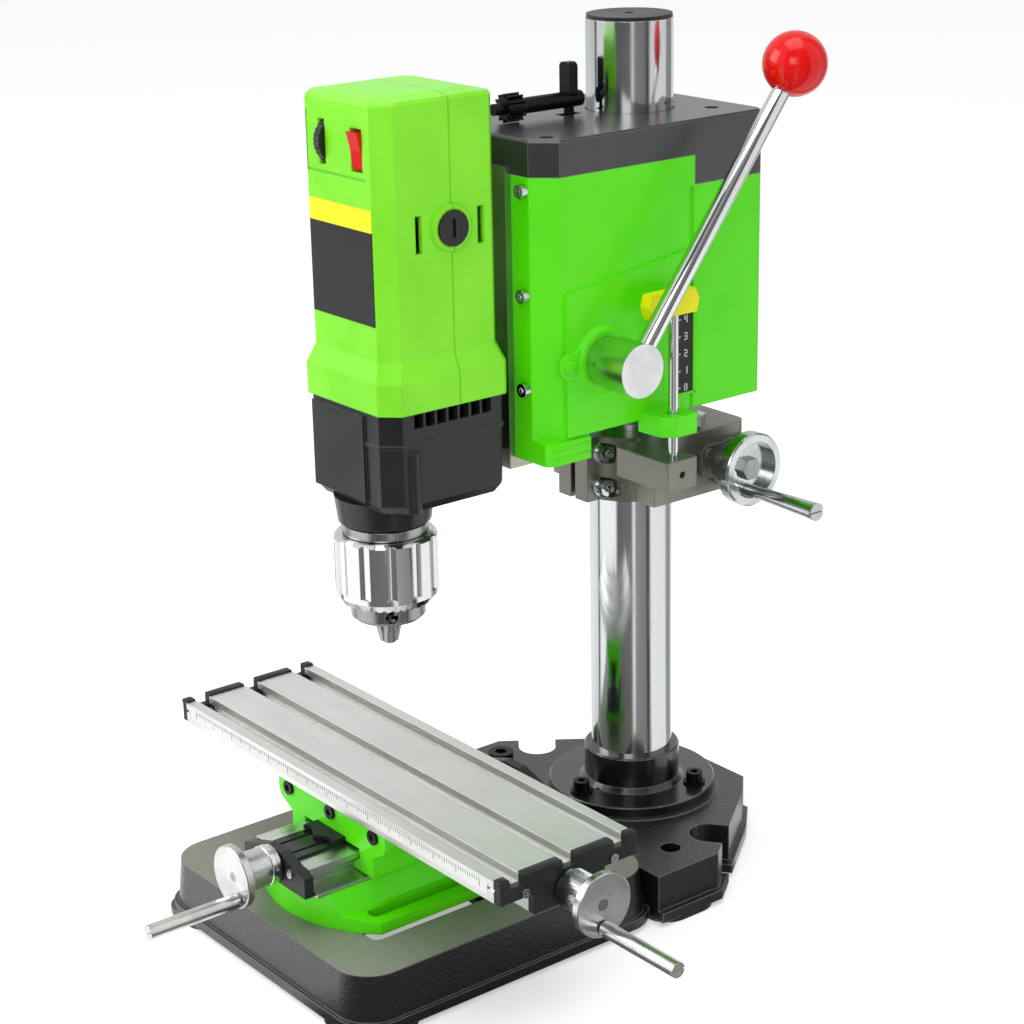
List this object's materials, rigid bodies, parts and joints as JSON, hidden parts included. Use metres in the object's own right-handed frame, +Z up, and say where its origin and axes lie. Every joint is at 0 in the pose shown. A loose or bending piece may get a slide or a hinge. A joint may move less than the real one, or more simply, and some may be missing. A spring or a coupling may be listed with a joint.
{
  "type": "drill milling machine",
  "caption": "Bench drill mill with a cross table, round column, rack lift carriage, lever feed head, motor, gearbox and drill chuck.",
  "frame": {"origin": "on the floor under the column axis", "axes": "+Z up along the column, -Y to the front where the table and the chuck are, +X to the feed lever's side"},
  "size_m": [0.3993, 0.4173, 0.5091],
  "materials": {
    "castiron_black": "rough",
    "machined": "satin",
    "green_paint": "satin",
    "lime_plastic": "gloss",
    "black_plastic": "satin",
    "cover_metal": "satin",
    "chrome": "polished",
    "steel": "brushed",
    "aluminium": "satin",
    "black_steel": "satin",
    "gunmetal": "satin",
    "black_gloss": "gloss",
    "bronze": "satin",
    "red_plastic": "gloss",
    "yellow_metal": "satin",
    "rubber": "matte"
  },
  "bodies": {
    "stand": {"base_casting": "castiron_black", "column_flange": "black_gloss", "flange_bolts": "black_steel", "column_tube": "chrome", "column_rack": "steel", "column_cap": "black_plastic", "base_bolts": "black_steel", "slide_base": "green_paint", "y_rail": "aluminium", "y_end_plates": "black_plastic", "y_plate_screws": "chrome", "rail_cover": "black_steel"},
    "saddle": {"saddle": "green_paint", "gib_screws": "black_steel", "lead_nuts": "bronze", "way_wiper": "rubber"},
    "work_table": {"table_plate": "aluminium", "table_end_caps": "black_plastic", "table_cap_screws": "chrome"},
    "x_drive": {"x_screw": "steel", "x_wheel": "aluminium"},
    "x_crank": {"x_grip": "aluminium"},
    "y_drive": {"y_screw": "steel", "y_wheel": "aluminium"},
    "y_crank": {"y_grip": "aluminium"},
    "carriage": {"carriage_collar": "gunmetal", "clamp_bolts": "black_steel", "lift_flange": "gunmetal", "depth_rod": "chrome", "depth_pointer": "yellow_metal", "feed_rack": "steel", "lock_nut": "chrome"},
    "lift_drive": {"lift_wheel": "chrome", "lift_pinion": "steel"},
    "lift_crank": {"lift_grip": "chrome"},
    "head": {"head_housing": "green_paint", "head_cover": "cover_metal", "head_screws": "chrome", "motor_plate": "aluminium", "motor_case_front": "lime_plastic", "motor_case_rear": "lime_plastic", "gearbox": "black_plastic", "brush_caps": "black_plastic", "cable_gland": "rubber", "motor_field": "steel", "spindle_bearings": "steel"},
    "feed_lever": {"feed_hub": "aluminium", "feed_rod": "chrome", "feed_knob": "red_plastic"},
    "spindle": {"spindle": "steel", "chuck_body": "steel"},
    "chuck_sleeve": {"chuck_sleeve": "chrome"},
    "jaw_a": {"jaw_a": "steel"},
    "jaw_b": {"jaw_b": "steel"},
    "jaw_c": {"jaw_c": "steel"},
    "rotor": {"rotor": "bronze"},
    "power_switch": {"power_switch": "red_plastic"},
    "speed_dial": {"speed_dial": "black_plastic"},
    "chuck_key": {"chuck_key": "black_steel"}
  },
  "joints": [
    {"name": "saddle_slide", "type": "slide", "parent": "stand", "child": "saddle", "axis": [0, 1, 0], "range_m": [-0.02, 0.038]},
    {"name": "table_slide", "type": "slide", "parent": "saddle", "child": "work_table", "axis": [1, 0, 0], "range_m": [-0.075, 0.075]},
    {"name": "x_turn", "type": "hinge", "parent": "work_table", "child": "x_drive", "pos_m": [0.16405, -0.185, 0.0882], "axis": [1, 0, 0], "range_deg": [-13501, 13501]},
    {"name": "x_grip_spin", "type": "hinge", "parent": "x_drive", "child": "x_crank", "pos_m": [0.16405, -0.185, 0.0752], "axis": [1, 0, 0], "continuous": true},
    {"name": "y_turn", "type": "hinge", "parent": "stand", "child": "y_drive", "pos_m": [0.005, -0.269, 0.068], "axis": [0, -1, 0], "range_deg": [-6841, 3601]},
    {"name": "y_grip_spin", "type": "hinge", "parent": "y_drive", "child": "y_crank", "pos_m": [0.01049, -0.269, 0.05622], "axis": [0, -1, 0], "continuous": true},
    {"name": "carriage_lift", "type": "slide", "parent": "stand", "child": "carriage", "axis": [0, 0, 1], "range_m": [-0.045, 0.05]},
    {"name": "lift_turn", "type": "hinge", "parent": "carriage", "child": "lift_drive", "pos_m": [0.054, 0.03419, 0.248], "axis": [1, 0, 0], "range_deg": [-301, 334.3]},
    {"name": "lift_grip_spin", "type": "hinge", "parent": "lift_drive", "child": "lift_crank", "pos_m": [0.054, 0.03419, 0.235], "axis": [1, 0, 0], "continuous": true},
    {"name": "head_feed", "type": "slide", "parent": "carriage", "child": "head", "axis": [0, 0, 1], "range_m": [-0.006, 0.037]},
    {"name": "lever_turn", "type": "hinge", "parent": "head", "child": "feed_lever", "pos_m": [0, -0.072, 0.332], "axis": [1, 0, 0], "range_deg": [-90.2, 15]},
    {"name": "spindle_spin", "type": "hinge", "parent": "head", "child": "spindle", "pos_m": [0, -0.1805, 0.26], "axis": [0, 0, 1], "continuous": true},
    {"name": "rotor_spin", "type": "hinge", "parent": "head", "child": "rotor", "pos_m": [0, -0.1585, 0.36], "axis": [0, 0, 1], "continuous": true},
    {"name": "sleeve_turn", "type": "hinge", "parent": "spindle", "child": "chuck_sleeve", "pos_m": [0, -0.1805, 0.22], "axis": [0, 0, 1], "range_deg": [0, 1081]},
    {"name": "jaw_a_slide", "type": "slide", "parent": "spindle", "child": "jaw_a", "axis": [0, 0.2756, 0.9613], "range_m": [0, 0.012]},
    {"name": "jaw_b_slide", "type": "slide", "parent": "spindle", "child": "jaw_b", "axis": [-0.2387, -0.1378, 0.9613], "range_m": [0, 0.0126]},
    {"name": "jaw_c_slide", "type": "slide", "parent": "spindle", "child": "jaw_c", "axis": [0.2387, -0.1378, 0.9613], "range_m": [0, 0.0126]},
    {"name": "switch_rock", "type": "hinge", "parent": "head", "child": "power_switch", "pos_m": [0.0172, -0.1971, 0.4585], "axis": [1, 0, 0], "range_deg": [-12, 0]},
    {"name": "dial_turn", "type": "hinge", "parent": "head", "child": "speed_dial", "pos_m": [-0.0142, -0.1926, 0.4595], "axis": [1, 0, 0], "range_deg": [-135, 135]},
    {"name": "key_lift", "type": "slide", "parent": "head", "child": "chuck_key", "axis": [0, 0, 1], "range_m": [0, 0.06]}
  ],
  "couplings": [
    {"joint": "x_turn", "follows": "table_slide", "rad_per_m": 3141.6},
    {"joint": "y_turn", "follows": "saddle_slide", "rad_per_m": -3141.6},
    {"joint": "lift_turn", "follows": "carriage_lift", "rad_per_m": 116.36},
    {"joint": "lever_turn", "follows": "head_feed", "rad_per_m": -42.311},
    {"joint": "rotor_spin", "follows": "spindle_spin", "ratio": -3.4},
    {"joint": "sleeve_turn", "follows": "jaw_a_slide", "rad_per_m": 1570.8},
    {"joint": "jaw_b_slide", "follows": "jaw_a_slide", "ratio": 1},
    {"joint": "jaw_c_slide", "follows": "jaw_a_slide", "ratio": 1}
  ]
}
